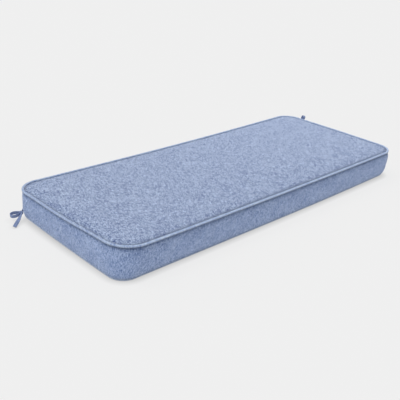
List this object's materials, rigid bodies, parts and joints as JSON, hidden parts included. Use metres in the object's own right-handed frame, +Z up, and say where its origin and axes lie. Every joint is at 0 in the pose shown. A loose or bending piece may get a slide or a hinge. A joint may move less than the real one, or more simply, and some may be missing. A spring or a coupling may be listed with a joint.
{
  "type": "bench cushion",
  "caption": "Long filled box cushion with rounded corners, piped seams and a cloth tie at each back corner.",
  "frame": {"origin": "on the surface that the cushion rests on, under the middle of its body", "axes": "+X along the cushion to its right end, +Y to its back edge where the ties are, +Z up"},
  "size_m": [1.2176, 0.46, 0.0994],
  "materials": {
    "cushion_cloth": "heathered blue plain weave, matt, top panel a little lighter than the boxing",
    "welt_cloth": "the same heathered blue cloth wrapped round a cord",
    "tie_cloth": "the same heathered blue cloth folded into a narrow strip"
  },
  "bodies": {
    "root": {"cushion": "cushion_cloth", "welt_top": "welt_cloth", "welt_bottom": "welt_cloth", "tie_left": "tie_cloth", "tie_right": "tie_cloth"}
  },
  "joints": []
}
